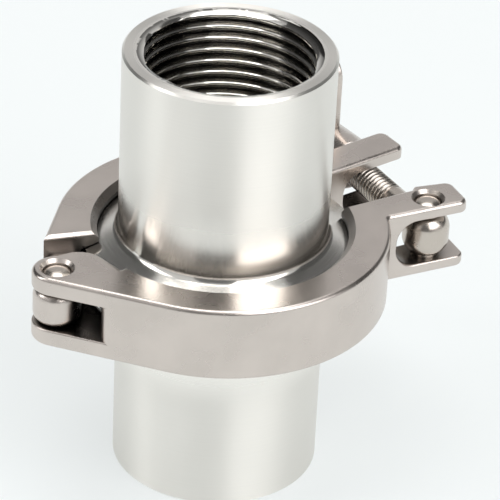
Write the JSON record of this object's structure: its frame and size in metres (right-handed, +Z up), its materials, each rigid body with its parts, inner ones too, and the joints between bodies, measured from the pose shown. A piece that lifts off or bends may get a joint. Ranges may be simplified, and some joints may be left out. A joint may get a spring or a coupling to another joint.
{
  "type": "sanitary clamp threaded adapter",
  "caption": "Sanitary clamp union: flanged ferrules with female pipe threads, held together by a hinged clamp with a swing bolt and a wing nut.",
  "frame": {"origin": "on the bore's axis, halfway through the gasket between the two flanges", "axes": "+Z up the bore towards the upper threaded mouth, +X towards the clamp's bolt, -X towards its hinge"},
  "size_m": [0.0839, 0.063, 0.0838],
  "materials": {
    "turned_steel": "finely turned and polished stainless steel",
    "cast_steel": "satin blasted stainless steel casting",
    "pin_steel": "machined stainless steel",
    "gasket": "smooth moulded"
  },
  "bodies": {
    "union": {"upper_ferrule": "turned_steel", "lower_ferrule": "turned_steel", "gasket": "gasket", "front_half": "cast_steel", "hinge_pin": "pin_steel", "bolt_pin": "pin_steel"},
    "rear_clamp_half": {"rear_half": "cast_steel"},
    "bolt": {"swing_bolt": "pin_steel"},
    "nut": {"wing_nut": "cast_steel"}
  },
  "joints": [
    {"name": "rear_half_hinge", "type": "hinge", "parent": "union", "child": "rear_clamp_half", "pos_m": [-0.03389, -0.00089, 0], "axis": [0, 0, 1], "range_deg": [0, 45]},
    {"name": "bolt_swing", "type": "hinge", "parent": "union", "child": "bolt", "pos_m": [0.0385, -0.0085, 0], "axis": [0, 0, -1], "range_deg": [0, 170]},
    {"name": "wing_nut_travel", "type": "slide", "parent": "bolt", "child": "nut", "axis": [0, 1, 0], "range_m": [0, 0.064]}
  ],
  "couplings": [
    {"joint": "wing_nut_travel", "follows": "rear_half_hinge", "m_per_rad": 0.08}
  ]
}
